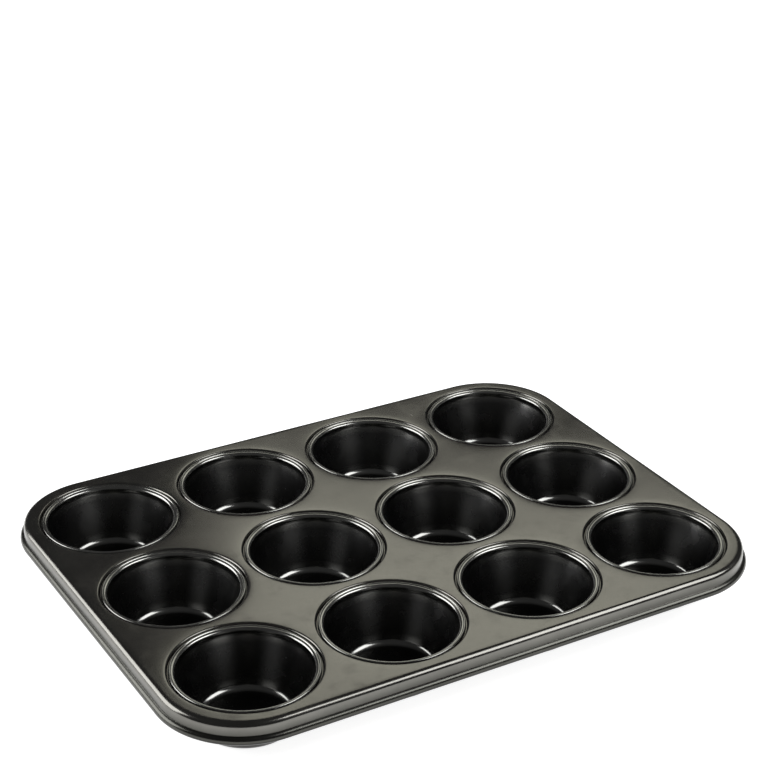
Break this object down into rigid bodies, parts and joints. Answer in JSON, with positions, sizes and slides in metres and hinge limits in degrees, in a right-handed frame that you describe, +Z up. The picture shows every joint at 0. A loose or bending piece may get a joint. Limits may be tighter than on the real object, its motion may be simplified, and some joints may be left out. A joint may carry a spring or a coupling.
{
  "type": "muffin tin",
  "caption": "Rectangular muffin tin: a pressed steel plate with a wired, rolled edge carrying rows of round flared cups, with a dark non-stick coating",
  "frame": {"origin": "Middle of the tin's rectangle, on the plane that the cup floors stand on", "axes": "+X runs along the row of four cups, +Y across the three rows, +Z up out of the cup mouths"},
  "size_m": [0.3496, 0.2662, 0.032],
  "materials": {
    "plate_coating": "satin dark grey baked non-stick coating on pressed steel sheet",
    "cup_coating": "satin near-black baked non-stick coating on drawn steel sheet",
    "rim_wire": "drawn galvanised steel wire"
  },
  "bodies": {
    "root": {"frame_plate": "plate_coating", "rim_wire": "rim_wire", "cup_a1": "cup_coating", "cup_a2": "cup_coating", "cup_a3": "cup_coating", "cup_a4": "cup_coating", "cup_b1": "cup_coating", "cup_b2": "cup_coating", "cup_b3": "cup_coating", "cup_b4": "cup_coating", "cup_c1": "cup_coating", "cup_c2": "cup_coating", "cup_c3": "cup_coating", "cup_c4": "cup_coating"}
  },
  "joints": []
}
